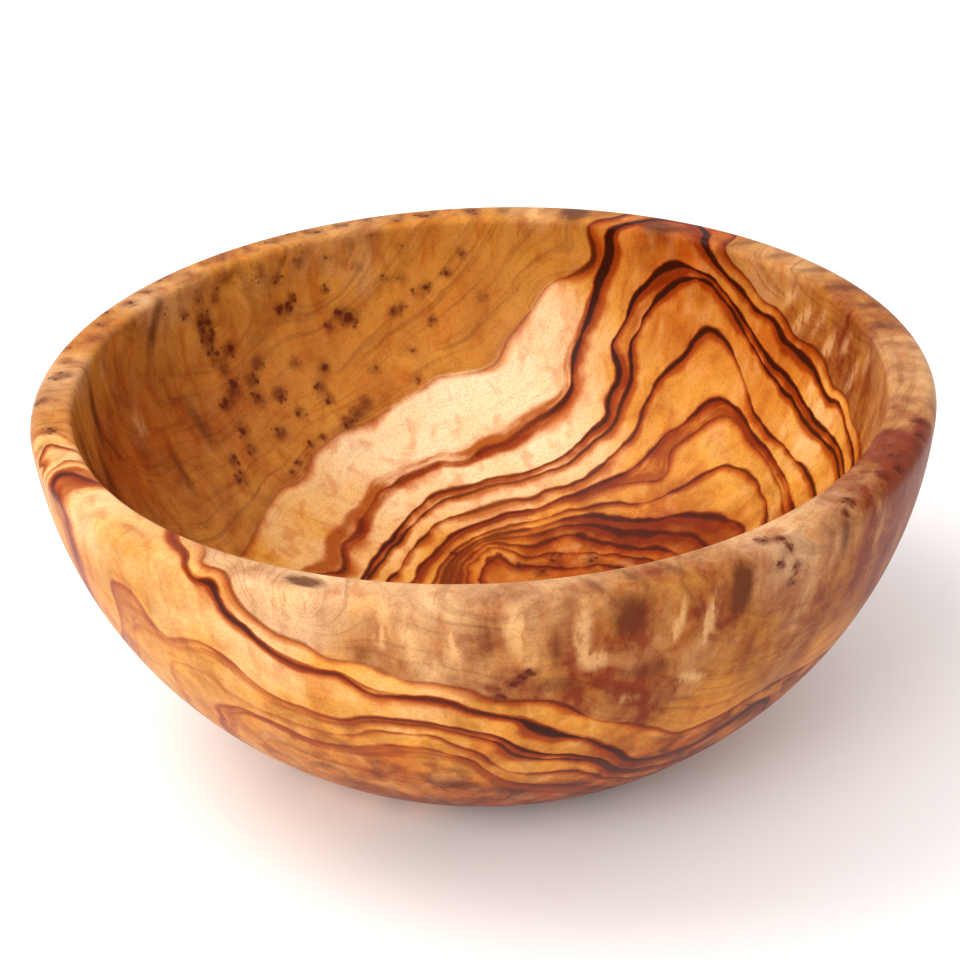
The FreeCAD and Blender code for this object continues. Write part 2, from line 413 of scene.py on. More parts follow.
# Figure across the grain: pale flames where the amount is above 0 and brown blocks where it is below. Each
# has its surface and place, half length, half width, the slant of its length from upright, and the amount.
FLAMES = (
    (side, -12.5, 61, 5, 1.4, 6, 0.9),
    (side, -9.5, 60, 5.5, 1.5, 0, 0.8),
    (side, -4.5, 60, 5.5, 1.4, -4, 0.9),
    (side, -7, 54, 2.6, 2.6, 0, 0.7),
    (side, 2.5, 61.5, 4.5, 2.1, 4, 1),
    (side, 4, 55.5, 2.4, 1.5, 0, 0.7),
    (side, 10, 60, 5.5, 1.4, 4, 1),
    (side, 11.5, 54, 2.4, 2.4, 30, 0.9),
    (side, 21.5, 58.5, 5, 1, 8, 0.9),
    (side, 25.5, 57, 6, 1.4, 10, 1),
    (side, 24, 45.5, 1.6, 2.8, 20, 0.9),
    (side, 16, 44, 1.6, 2.2, 0, 0.6),
    (side, 36, 48, 1.2, 6, 0, 0.3),
    (side, 15.5, 61.5, 4.5, 3.2, 0, -0.8),
    (side, 29.5, 61, 5.6, 2.2, 3, -1),
    (side, 18.5, 50, 2.4, 5, 0, -0.5),
    (side, 7, 57, 5, 1.2, 0, -0.6),
    (side, -1, 60, 5, 1.4, 0, -0.5),
    (side, 7, 49.5, 1.8, 5, 0, -0.5),
    (side, -15, 56.5, 2, 3, 0, -0.4),
    (side, 46, 62, 4.5, 1.6, 6, -0.6),
    (side, 54, 58, 5.5, 1.6, 6, 0.5),
    (side, -24, 62.5, 4.6, 3.8, 0, 0.8),
    (wall, 123, 61, 3.6, 1.3, -35, 0.9),
    (wall, 119.5, 58, 5, 1.3, -35, 1),
    (wall, 115.5, 59, 4.6, 1.1, -30, 0.8),
    (wall, 112, 56, 4.6, 1.4, -25, 1),
    (wall, 107, 59, 4, 1.3, -25, 0.8),
    (wall, 103, 55, 4.6, 1.4, -18, 0.9),
    (wall, 99, 60, 3.6, 1.3, -20, 0.7),
    (wall, 113.5, 46.6, 3, 1.4, -12, 1),
    (wall, 109.8, 46, 3.2, 1.9, -12, 1),
    (wall, 105.5, 45.5, 3, 1.4, -12, 0.9),
    (wall, 115.5, 38.8, 3, 1.9, -20, 0.8),
    (wall, 110, 38.5, 3.2, 2.2, -20, 0.9),
    (wall, 105, 36, 2.6, 2.2, -20, 0.7),
    (rim, -22.5, 75.5, 1.5, 3.7, 0, -1),
    (rim, 170.5, 76, 4, 1.8, 0, 1),
    (rim, 164.5, 76, 4, 3.4, 0, -0.9),
    (rim, 175.5, 76, 3.4, 2, 0, -0.5),
    (rim, 150, 74, 2.6, 5.5, 0, -0.8),
    *((rim, azimuth, 76.8, 2.4, 1.2, 0, -0.55) for azimuth in range(181, 217, 5)),
    *((side, azimuth, 54, 8, 1.8, 8, 0.6) for azimuth in range(90, 180, 15)),
    *((side, azimuth, 50, 9, 2.2, -8, -0.6) for azimuth in range(98, 190, 15)),
    *((rim, azimuth, 76, 4.4, 1.3, 25, -0.5) for azimuth in range(12, 27, 5)),
    *((rim, azimuth, 76, 4.4, 1.6, -30, -0.5) for azimuth in range(101, 140, 7)),
    (wall, 239, 61, 7, 1.6, -35, -0.7),
    (wall, 262, 56, 8, 1.3, -12, -0.8),
    (wall, 267, 46, 8, 1.5, -16, -0.7),
    (wall, 272, 54, 9, 1.2, 0, -0.6),
    (wall, 236, 40, 7, 1.8, 8, -0.5),
    (wall, 246, 36, 7, 1.6, -8, -0.5),
    (wall, 255, 62, 4, 2.4, -30, 0.4),
    (wall, 250, 47, 5, 3, 0, 0.5),
)
EYE_SPREAD = 1.3  # an eye's stain reaches this many times its own spread
FLAME_EDGE = 2.5  # how sharply a flame or a block ends
REACH_DEEP = 3.0  # how deep into the wood a mark goes: less than the wall, so the other face is free of it
BURL, HEART, ANY = 0, 1, 2


def beside(points, surface, across, along_it, half_long, half_wide, slant):
    """How far each point is from the middle of an oval mark on a surface, where 1 is the mark's edge."""
    nudge = 0.5
    place = surface(across, along_it)
    up = surface(across, along_it + nudge) - surface(across, along_it - nudge)
    up /= np.linalg.norm(up)
    right = surface(across + nudge, along_it) - surface(across - nudge, along_it)
    right /= np.linalg.norm(right)
    offset = points - place
    lean = math.radians(slant)
    long_way = offset @ (up * math.cos(lean) + right * math.sin(lean))
    wide_way = offset @ (right * math.cos(lean) - up * math.sin(lean))
    deep_way = offset @ np.cross(right, up)
    return np.sqrt((long_way / half_long) ** 2 + (wide_way / half_wide) ** 2 + (deep_way / REACH_DEEP) ** 2)


def tones_at(points, growth_field):
    """Amber and dusk of the heartwood and of the burl at each point, and the ink of its veins.

    Each is the mean of the tones about the point, and a tone counts only for the wood on its own side of the
    boundary, so that the two woods meet at a clear edge.
    """
    sums = np.zeros((3, len(points), 3))
    totals = np.zeros((3, len(points)))
    wood_of = growth_field.at(np.array([place for place, *_ in TONES])) > 0
    for (place, reach, *values), wood in zip(TONES, wood_of.astype(int)):
        weight = np.exp(-((points - place) ** 2).sum(axis=1) / (2 * reach**2))
        for kind in (wood, ANY):
            totals[kind] += weight
            sums[kind] += np.outer(weight, values)
    for wood, tone in ((HEART, HEART_TONE), (BURL, BURL_TONE), (ANY, HEART_TONE)):
        totals[wood] += FAR_TONE_WEIGHT
        sums[wood] += FAR_TONE_WEIGHT * np.array(tone)
    return sums / totals[:, :, None]


def eyes_at(points):
    """How dark the stain of the burl eyes is at each point, from 0 to 1."""
    clear = np.ones(len(points))
    for reach, amount, surface, places in EYES:
        for place in places:
            apart = ((points - surface(*place)) ** 2).sum(axis=1)
            near = amount * np.exp(-apart / (2 * (reach / EYE_SPREAD) ** 2))
            clear *= 1 - near
    return 1 - clear


def flames_at(points):
    """The figure across the grain at each point, from -1, a brown block, to 1, a pale flame."""
    total = np.zeros(len(points))
    for surface, across, along_it, half_long, half_wide, slant, amount in FLAMES:
        off = beside(points, surface, across, along_it, half_long, half_wide, slant)
        total += amount * np.exp(-(off**FLAME_EDGE))
    return np.clip(total, -1, 1)


def chevrons_at(points):
    """How clearly the two close lines on the left of the rim show at each point, from 0 to 1."""
    return np.exp(-((points - CHEVRON_PLACE) ** 2).sum(axis=1) / (2 * CHEVRON_REACH**2))


# ---- surface of the bowl


def along(curve, count):
    """Places evenly spaced along a dense curve, from its first point to its last."""
    steps = np.hypot(*np.diff(curve, axis=0).T)
    run = np.concatenate([[0], np.cumsum(steps)])
    wanted = np.linspace(0, run[-1], count + 1)
    return np.column_stack([np.interp(wanted, run, curve[:, 0]), np.interp(wanted, run, curve[:, 1])])


def corner(curve, into, rounding, level):
    """Where a corner's round leaves a curve: the curve up to there, and the round's centre.

    into is +1 or -1, the side of the curve that the wood is on. The round's centre lies at the height level.
    """
    course = np.gradient(curve, axis=0)
    course /= np.hypot(*course.T)[:, None]
    centres = curve + rounding * into * np.column_stack([-course[:, 1], course[:, 0]])
    prefer_later = np.linspace(1e-3, 0, len(curve))  # of two equal fits, the one further along
    last = np.argmin(np.abs(centres[:, 1] - level) + prefer_later)
    return last, centres[last]


def arc(centre, start, upright, count):
    """A round from a point to the point straight above its centre, or below it where upright is -1."""
    radius = math.dist(centre, start)
    first = math.atan2(start[1] - centre[1], start[0] - centre[0])
    last = upright * math.pi / 2
    turns = np.linspace(first, last, count + 1)
    return np.column_stack([centre[0] + radius * np.cos(turns), centre[1] + radius * np.sin(turns)])


def section():
    """The section as rows of (radius, height), from the floor's middle, over the rim, to the foot's middle.

    With it comes each row's share of the hollow: 1 inside, 0 outside, and between them across the rim.
    """
    power = 2 / HOLLOW_POWER
    rim_angle = math.asin(((EQUATOR_HEIGHT - DESIGN_HEIGHT) / HOLLOW_DEPTH) ** (1 / power))
    angles = np.linspace(math.pi / 2, rim_angle, DENSE)
    hollow_r = HOLLOW_WIDTH * np.cos(angles).clip(0) ** power
    hollow = np.column_stack([hollow_r, EQUATOR_HEIGHT - HOLLOW_DEPTH * np.sin(angles) ** power])
    heights = np.linspace(DESIGN_HEIGHT, 0, DENSE)
    outside = np.column_stack([outer_radius(heights), heights])

    inner_end, inner_centre = corner(hollow, -1, RIM_INNER_ROUND, DESIGN_HEIGHT - RIM_INNER_ROUND)
    outer_start, outer_centre = corner(outside, -1, RIM_OUTER_ROUND, DESIGN_HEIGHT - RIM_OUTER_ROUND)
    foot_start, foot_centre = corner(outside, -1, FOOT_ROUND, FOOT_ROUND)
    inner_round = arc(inner_centre, hollow[inner_end], 1, ROWS_RIM_ROUND)
    outer_round = arc(outer_centre, outside[outer_start], 1, ROWS_RIM_ROUND)[::-1]
    foot_round = arc(foot_centre, outside[foot_start], -1, ROWS_FOOT_ROUND)
    top = np.array([inner_round[-1], outer_round[0]])
    under = np.array([foot_round[-1], [0, 0]])
    runs = (
        along(hollow[: inner_end + 1], ROWS_HOLLOW),
        inner_round,
        along(top, ROWS_RIM_TOP),
        outer_round,
        along(outside[outer_start : foot_start + 1], ROWS_SIDE),
        foot_round,
        along(under, ROWS_FOOT),
    )
    rows = np.concatenate([runs[0][:1]] + [run[1:] for run in runs])
    before, across = len(runs[0]), 2 * ROWS_RIM_ROUND + ROWS_RIM_TOP
    share = np.interp(np.arange(len(rows)), [before, before + across], [1, 0])
    return rows, share


def grid_points(rows):
    """Every point of the turned surface, as an array of rows by azimuths by 3."""
    turns = np.arange(AROUND) * 2 * math.pi / AROUND
    radii, heights = rows[:, :1], rows[:, 1:]
    return np.stack([radii * np.sin(turns), -radii * np.cos(turns), heights + 0 * turns], axis=2)


# Knots and short cracks that the surface dips at: surface and place, half length, half width, slant, depth
DENTS = (
    (wall, 201.5, 48.8, 1.9, 1.6, 0, 0.35),
    (wall, 228, 55.5, 3, 1.8, 0, 0.35),
    (wall, 211.5, 54, 1.5, 1.2, 0, 0.25),
    (wall, 189, 51.5, 1.6, 1.1, 60, 0.2),
    (side, 2, 50, 2.4, 1.3, 30, 0.3),
    (side, -46, 48.5, 1.6, 1, 80, 0.15),
    (rim, -22.5, 75.5, 1.2, 3.4, 0, 0.4),
)
HOLLOW_SHIFT = 0.8  # the hollow stands off centre by this, so the wall is thickest at the front right
HOLLOW_SHIFT_AZIMUTH = 225.0
UNEVEN = 0.05  # how far hand sanding has taken the outside in, at most, on each of its waves
WAVES = ((2, 0.6), (3, 2.1), (5, 4.0))  # waves round the bowl, and where each starts


def hand_worked(points, share):
    """The turned points as they are after sanding by hand: a little uneven, and dented at knots."""
    worked = points.copy()
    turn = np.arctan2(points[:, :, 0], -points[:, :, 1])
    across = np.hypot(points[:, :, 0], points[:, :, 1])
    taken = sum(UNEVEN * (1 + np.sin(waves * turn + start)) / 2 for waves, start in WAVES)
    worked[:, :, :2] *= (1 - taken / OUTER_WIDTH)[:, :, None] * CLEAR_OF_BOX
    worked[:, :, 2] = points[:, :, 2] * CLEAR_OF_BOX + CLEAR_OF_FLOOR
    shift = round_axis(HOLLOW_SHIFT_AZIMUTH, HOLLOW_SHIFT, 0)
    worked += share[:, None, None] * shift * (across / HOLLOW_WIDTH)[:, :, None] ** 2
    return worked


def dented(points, normals):
    """The points, pushed in along their normals at each knot."""
    for surface, across, along_it, half_long, half_wide, slant, depth in DENTS:
        off = beside(points, surface, across, along_it, half_long, half_wide, slant)
        points = points - normals * (depth * np.exp(-(off**2)))[..., None]
    return points


def grid_normals(points):
    """Outward normals of the grid, from its own rows and columns."""
    down = np.gradient(points, axis=0)
    round_about = np.roll(points, -1, axis=1) - np.roll(points, 1, axis=1)
    normals = np.cross(round_about, down)
    length = np.linalg.norm(normals, axis=2, keepdims=True)
    return -normals / np.maximum(length, NEARLY_ZERO)


SLOWEST_PACE = 0.03
FASTEST_PACE = 1.5
NO_STEP = 1e-3  # the two ends of the grid are single points, with no way round them


def pace_of(growth, points):
    """How fast the growth changes over the surface, in levels per design millimetre."""
    down = np.linalg.norm(np.gradient(points, axis=0), axis=2)
    down_change = np.gradient(growth, axis=0) / np.maximum(down, NEARLY_ZERO)
    step = np.linalg.norm(np.roll(points, -1, axis=1) - np.roll(points, 1, axis=1), axis=2)
    around_change = (np.roll(growth, -1, axis=1) - np.roll(growth, 1, axis=1)) / np.maximum(step, NEARLY_ZERO)
    around_change[step < NO_STEP] = 0
    return np.clip(np.hypot(down_change, around_change), SLOWEST_PACE, FASTEST_PACE)


def faces_of(row_count):
    """Quads between neighbouring rows of the grid. The first and last rows are single points, given last."""
    inner_rows = row_count - 2
    start = np.arange(AROUND)
    after = (start + 1) % AROUND
    quads = []
    for row in range(inner_rows - 1):
        low, high = row * AROUND, (row + 1) * AROUND
        quads += np.column_stack([low + start, low + after, high + after, high + start]).tolist()
    first, last = inner_rows * AROUND, inner_rows * AROUND + 1
    bottom = (inner_rows - 1) * AROUND
    fans = [[first, after[k], start[k]] for k in range(AROUND)]
    fans += [[last, bottom + start[k], bottom + after[k]] for k in range(AROUND)]
    return quads + [[int(point) for point in fan] for fan in fans]


def flat_rows(grid):
    """The grid's values as one list of vertices: the rows between the ends, then the two end points."""
    return np.concatenate([grid[1:-1].reshape(-1, *grid.shape[2:]), grid[:1, 0], grid[-1:, 0]])


def bowl_mesh():
    """The bowl's surface as a mesh in metres, with the figure of its wood as attributes."""
    rows, share = section()
    turned = grid_points(rows)
    growth_field = GrowthField()
    growth = growth_field.at(turned.reshape(-1, 3)).reshape(turned.shape[:2])
    pace = pace_of(growth, turned)
    worked = hand_worked(turned, share)
    worked = dented(worked, grid_normals(worked))
    mesh = bpy.data.meshes.new("olive_wood_bowl")
    mesh.from_pydata((flat_rows(worked) * MM).tolist(), [], faces_of(len(rows)))
    mesh.polygons.foreach_set("use_smooth", [True] * len(mesh.polygons))
    places = flat_rows(turned)
    burl, heart, either = tones_at(places, growth_field)
    fields = {
        "growth": flat_rows(growth),
        "pace": flat_rows(pace),
        "heart_amber": heart[:, 0],
        "heart_dusk": heart[:, 1],
        "burl_amber": burl[:, 0],
        "burl_dusk": burl[:, 1],
        "ink": either[:, 2],
        "eyes": eyes_at(places),
        "flames": flames_at(places),
        "chevrons": chevrons_at(places),
    }
    for name, values in fields.items():
        mesh.attributes.new(name, "FLOAT", "POINT").data.foreach_set("value", values.astype(np.float32))
    mesh.validate()
    return mesh


# ---- material of the wood


def colour(red, green, blue):
    """A linear colour from the 0 to 255 values that it has on a screen."""
    shares = (red / 255, green / 255, blue / 255)
    linear = (share / 12.92 if share < 0.04045 else ((share + 0.055) / 1.055) ** 2.4 for share in shares)
    return (*linear, 1.0)


class Nodes:
    """A node tree that is built by calls: each adds a node and gives back its output."""

    def __init__(self, tree):
        self.tree = tree
        tree.nodes.clear()

    def add(self, kind, **settings):
        node = self.tree.nodes.new(kind)
        for name, value in settings.items():
            setattr(node, name, value)
        return node

    def put(self, socket, value):
        if isinstance(value, bpy.types.NodeSocket):
            self.tree.links.new(value, socket)
        else:
            socket.default_value = value

    def field(self, name):
        return self.add("ShaderNodeAttribute", attribute_name=name).outputs["Fac"]

    def math(self, operation, *values, clamp=False):
        node = self.add("ShaderNodeMath", operation=operation, use_clamp=clamp)
        for socket, value in zip(node.inputs, values):
            self.put(socket, value)
        return node.outputs[0]

    def times(self, first, second, clamp=False):
        return self.math("MULTIPLY", first, second, clamp=clamp)

    def step(self, value, low, high, start=0.0, end=1.0):
        """Goes smoothly from start to end while value goes from low to high."""
        node = self.add("ShaderNodeMapRange", interpolation_type="SMOOTHSTEP")
        for socket, given in zip(node.inputs, (value, low, high, start, end)):
            self.put(socket, given)
        return node.outputs[0]

    def mix(self, share, first, second, blend="MIX"):
        node = self.add("ShaderNodeMix", data_type="RGBA", blend_type=blend)
        self.put(node.inputs[0], share)
        self.put(node.inputs[6], first)
        self.put(node.inputs[7], second)
        return node.outputs[2]

    def stretched(self, places, x, y, z):
        node = self.add("ShaderNodeVectorMath", operation="MULTIPLY")
        self.put(node.inputs[0], places)
        node.inputs[1].default_value = (x, y, z)
        return node.outputs[0]

    def noise(self, places, scale, detail=2.0, roughness=0.5, distortion=0.0, w=None):
        node = self.add("ShaderNodeTexNoise", noise_dimensions="3D" if w is None else "4D")
        self.put(node.inputs["Vector"], places)
        if w is not None:
            self.put(node.inputs["W"], w)
        settings = {"Scale": scale, "Detail": detail, "Roughness": roughness, "Distortion": distortion}
        for name, value in settings.items():
            node.inputs[name].default_value = value
        return node.outputs["Fac"]


# Veins that are single lines: level, half width in design millimetres, darkness
LINES = (
    (0.00, 0.34, 0.65),
    (1.25, 0.55, 0.95),
    (2.60, 0.42, 0.95),
    (2.95, 0.42, 0.90),
    (4.00, 0.45, 0.85),
    (5.02, 0.45, 0.80),
    (5.55, 0.35, 0.60),
    (6.50, 0.36, 0.75),
    (7.20, 0.65, 0.80),
    (7.75, 0.65, 0.75),
    (8.40, 0.65, 0.75),
    (9.00, 0.35, 0.70),
    (9.60, 0.40, 0.75),
)
THICK_LINES = ((1.25, 1.05, 1.0),)  # shown only where there is most ink
CHEVRON_LINES = ((0.45, 0.26, 0.80), (0.80, 0.26, 0.80))  # shown only on the left of the rim
# Brown bands: from which level, to which, and how strong
FILLS = (
    (1.02, 1.52, 0.95),
    (2.60, 2.95, 0.60),
    (4.95, 5.65, 0.92),
    (9.50, 11.0, 0.50),
)
PITH_BAND = (7.20, 8.45, 1.0)  # a darker one, shown only where the wood is dusky

# Colours
# Cream is also the colour of the painted highlight at the back of the inside floor.
CREAM = colour(250, 222, 180)
GOLDEN = colour(220, 155, 62)
ORANGE = colour(188, 86, 8)
# Umber is also the colour of the painted shade low on the outside.
UMBER_AND_SHADE = colour(98, 38, 10)
VEIN = colour(46, 12, 3)
VEIN_WARM = colour(126, 48, 8)
STAIN = colour(214, 142, 74)  # laid over the wood like dye
BAND = colour(138, 66, 14)
BLOCK = colour(86, 36, 13)
# The burl's brown is also the colour of the painted shade on the inner left wall and on the right of the
# outside.
BURL_BROWN_AND_SHADE = colour(120, 47, 17)
EYE_STAIN = colour(94, 30, 10)
EYE = colour(80, 25, 9)
PALE = colour(240, 190, 130)


# How far the rings wander from their smooth course, in design millimetres from side to side
WIDE_WAVER = 2.6
FINE_WAVER = 0.4
PITH_WAVER = 2.8  # near the pith they wander this many times as far
FINE_LINES = 260.0  # how closely the fine lines follow each other, for each level of growth
STRANDS = 30.0  # and the streaks in the brown bands
EYE_APART = 1.6  # design millimetres between the dark dots of a burl eye

# The oiled surface
ROUGHNESS = 0.30  # of the clear wood: its pores add PORE_ROUGHNESS and its eyes EYE_ROUGHNESS
PORE_ROUGHNESS = 0.16
EYE_ROUGHNESS = 0.2
RELIEF = 0.12  # design millimetres
RELIEF_STRENGTH = 0.35
OIL_IOR = 1.33
OIL_GLOSS = 0.10
COAT = 0.05
COAT_ROUGHNESS = 0.28


def wavered(nodes, places):
    """The growth level, shifted by noise so that the rings have the fine waver of real ones."""
    wide = nodes.noise(places, 0.10, 2.0, 0.5)
    fine = nodes.noise(places, 0.45, 2.0, 0.55)
    middle = (WIDE_WAVER + FINE_WAVER) / 2
    fine_shift = nodes.math("MULTIPLY_ADD", fine, FINE_WAVER, -middle)
    shift = nodes.math("MULTIPLY_ADD", wide, WIDE_WAVER, fine_shift)
    shift = nodes.times(shift, nodes.step(nodes.field("growth"), 7.0, 9.2, 1.0, PITH_WAVER))
    return nodes.math("MULTIPLY_ADD", shift, nodes.field("pace"), nodes.field("growth"))


def line_core(nodes, off_scale, growth, level, half_width, darkness):
    """How much of a vein's dark core lies here: full along its middle, and gone a little way off it."""
    off = nodes.times(nodes.math("ABSOLUTE", nodes.math("SUBTRACT", growth, level)), off_scale)
    return nodes.step(off, half_width * 0.2, half_width * 2.0, darkness, 0.0)


def line_stain(nodes, off_scale, growth, level, half_width, darkness):
    """How much of the warm stain round a vein lies here. It spreads furthest towards the pith."""
    past = nodes.times(nodes.math("SUBTRACT", growth, level), off_scale)
    off = nodes.math("MAXIMUM", nodes.times(past, 0.45), nodes.times(past, -1.2))
    return nodes.step(off, 0.0, half_width * 2.6, darkness * 0.85, 0.0)


def fill_mask(nodes, growth, low, high, strength):
    """How much of a brown band lies here."""
    soft = (high - low) * 0.2
    rise = nodes.step(growth, low - soft, low + soft * 0.5, 0.0, strength)
    fall = nodes.step(growth, high - soft * 2, high + soft, 1.0, 0.0)
    return nodes.times(rise, fall)


def most_of(nodes, masks):
    """The largest of some amounts at each point."""
    most = masks[0]
    for mask in masks[1:]:
        most = nodes.math("MAXIMUM", most, mask)
    return most


def toned(nodes, amber, dusk, dark):
    """Wood from cream through golden to orange, with a brown stain over it that is in places painted shade.
    """
    ramp = nodes.add("ShaderNodeValToRGB")
    nodes.put(ramp.inputs[0], amber)
    stops = ramp.color_ramp.elements
    stops[0].color = CREAM
    stops[1].color = ORANGE
    middle = stops.new(0.5)
    middle.color = GOLDEN
    return nodes.mix(dusk, ramp.outputs[0], dark)


def eye_dots(nodes, places, size):
    """The distance to the nearest of many dots, about size design millimetres apart, with ragged edges."""
    node = nodes.add("ShaderNodeTexVoronoi", feature="F1")
    ragged = nodes.add("ShaderNodeVectorMath", operation="ADD")
    nodes.put(ragged.inputs[0], places)
    shake = nodes.add("ShaderNodeTexNoise")
    nodes.put(shake.inputs["Vector"], places)
    shake.inputs["Scale"].default_value = 1.2
    shake.inputs["Detail"].default_value = 2.0
    nodes.put(ragged.inputs[1], nodes.stretched(shake.outputs["Color"], 1.1, 1.1, 1.1))
    nodes.put(node.inputs["Vector"], ragged.outputs[0])
    node.inputs["Scale"].default_value = 1 / size
    return node.outputs["Distance"]


def eye_spots(nodes, places):
    """How much of a burl eye's dark dots lies here."""
    dots = nodes.math("MULTIPLY_ADD", eye_dots(nodes, places, EYE_APART), -1.3, nodes.field("eyes"))
    return nodes.step(dots, -0.10, 0.38)


def plain_wood(nodes, places, burl, mottle):
    """The tones of the heartwood and of the burl, clouded and mottled."""
    patches = nodes.noise(places, 0.06, 3.0, 0.55)
    patch_shift = nodes.math("MULTIPLY_ADD", patches, 0.6, -0.3)
    heart_amber = nodes.math("ADD", nodes.field("heart_amber"), patch_shift, clamp=True)
    heart_mottle = nodes.step(mottle, 0.3, 0.7, 0.3, 1.7)
    heart_dusk = nodes.times(nodes.field("heart_dusk"), heart_mottle, clamp=True)
    heart_wood = toned(nodes, heart_amber, heart_dusk, UMBER_AND_SHADE)
    burl_amber = nodes.math("ADD", nodes.field("burl_amber"), patch_shift, clamp=True)
    long_mottle = nodes.noise(nodes.stretched(places, 0.16, 0.16, 0.05), 1.0, 4.0, 0.6)
    burl_mottle = nodes.step(mottle, 0.3, 0.68, 0.84, 1.16)
    burl_stain = nodes.times(burl_mottle, nodes.step(long_mottle, 0.3, 0.7, 0.76, 1.22))
    burl_dusk = nodes.times(nodes.field("burl_dusk"), burl_stain, clamp=True)
    burl_wood = toned(nodes, burl_amber, burl_dusk, BURL_BROWN_AND_SHADE)
    return nodes.mix(burl, heart_wood, burl_wood)


def with_fine_lines(nodes, wood, fine_lines, burl):
    """Fine lines along the rings, clearest in the burl."""
    line_strength = nodes.math("MULTIPLY_ADD", burl, 0.26, 0.14)
    return nodes.mix(nodes.times(fine_lines, line_strength), wood, UMBER_AND_SHADE)


def with_cross_figure(nodes, wood, places, burl):
    """Figure across the grain: a faint one everywhere, then the placed flames and blocks, with torn edges."""
    cross = nodes.noise(nodes.stretched(places, 0.30, 0.30, 0.11), 1.0, 2.0, 0.5, 0.4)
    pale_cross = nodes.step(cross, 0.50, 0.75, 0.0, 0.20)
    less_in_burl = nodes.math("MULTIPLY_ADD", burl, -0.7, 1.0)
    wood = nodes.mix(nodes.times(pale_cross, less_in_burl), wood, PALE)
    wood = nodes.mix(nodes.step(cross, 0.52, 0.28, 0.0, 0.45), wood, STAIN, "MULTIPLY")
    torn = nodes.noise(nodes.stretched(places, 0.6, 0.6, 0.22), 1.0, 4.0, 0.6)
    flames = nodes.times(nodes.field("flames"), nodes.step(torn, 0.32, 0.58, 0.25, 1.2))
    wood = nodes.mix(nodes.step(flames, 0.05, 1.05, 0.0, 0.46), wood, PALE)
    blocks = nodes.times(nodes.field("flames"), nodes.step(torn, 0.25, 0.55, 0.7, 1.1))
    return nodes.mix(nodes.step(blocks, -0.05, -0.80, 0.0, 0.88), wood, BLOCK)


def with_bands(nodes, wood, places, growth):
    """Brown bands between some of the veins, streaked along the rings."""
    strands = nodes.noise(places, 0.10, 3.0, 0.6, w=nodes.times(growth, STRANDS))
    fills = most_of(nodes, [fill_mask(nodes, growth, *fill) for fill in FILLS])
    fills = nodes.times(fills, nodes.step(strands, 0.32, 0.62, 0.38, 1.20), clamp=True)
    wood = nodes.mix(fills, wood, STAIN, "MULTIPLY")
    wood = nodes.mix(nodes.step(fills, 0.2, 1.0, 0.0, 0.6), wood, BAND)
    pith_dusk = nodes.step(nodes.field("heart_dusk"), 0.15, 0.35, 0.0, 0.75)
    pith_fill = nodes.times(fill_mask(nodes, growth, *PITH_BAND), pith_dusk)
    return nodes.mix(pith_fill, wood, VEIN_WARM)


def with_veins(nodes, wood, places, growth):
    """The dark lines, which swell and fade along their way: first their warm stain, then their cores."""
    ink = nodes.field("ink")
    breaks = nodes.noise(places, 0.08, 3.0, 0.55)
    swelling = nodes.step(breaks, 0.32, 0.68, 0.5, 1.9)
    width = nodes.times(nodes.math("MULTIPLY_ADD", ink, 0.6, 0.4), swelling)
    off_scale = nodes.math("DIVIDE", 1.0, nodes.times(nodes.field("pace"), width))
    strength = nodes.times(ink, nodes.step(breaks, 0.30, 0.50, 0.65, 1.05))
    sometimes = ((CHEVRON_LINES, nodes.field("chevrons")), (THICK_LINES, nodes.step(ink, 1.15, 1.40)))

    def all_lines(part_of_line):
        """How much of this part of any vein lies here."""
        masks = [part_of_line(nodes, off_scale, growth, *line) for line in LINES]
        for lines, shown in sometimes:
            extra = most_of(nodes, [part_of_line(nodes, off_scale, growth, *line) for line in lines])
            masks.append(nodes.times(extra, shown))
        return nodes.times(most_of(nodes, masks), strength, clamp=True)

    stains = all_lines(line_stain)
    wood = nodes.mix(nodes.step(stains, 0.0, 0.6), wood, STAIN, "MULTIPLY")
    wood = nodes.mix(nodes.step(stains, 0.25, 0.95, 0.0, 0.85), wood, VEIN_WARM)
    return nodes.mix(nodes.step(all_lines(line_core), 0.28, 0.95, 0.0, 0.95), wood, VEIN)


def with_eyes(nodes, wood, eyes, mottle):
    """Burl eyes: a stain round each cluster, and dark dots in it."""
    stain = nodes.times(nodes.field("eyes"), nodes.step(mottle, 0.25, 0.6, 0.6, 1.2))
    wood = nodes.mix(nodes.step(stain, 0.10, 0.9, 0.0, 0.75), wood, EYE_STAIN)
    return nodes.mix(nodes.times(eyes, 0.85), wood, EYE)


def relief(nodes, pores, eyes, fine_lines):
    """The surface's bumps: its pores stand up a little, and its eyes and fine lines lie lower."""
    height = nodes.math("SUBTRACT", nodes.times(pores, 0.35), nodes.times(eyes, 1.0))
    height = nodes.math("SUBTRACT", height, nodes.times(fine_lines, 0.25))
    bump = nodes.add("ShaderNodeBump")
    bump.inputs["Strength"].default_value = RELIEF_STRENGTH
    bump.inputs["Distance"].default_value = RELIEF * MM
    nodes.put(bump.inputs["Height"], height)
    return bump.outputs[0]


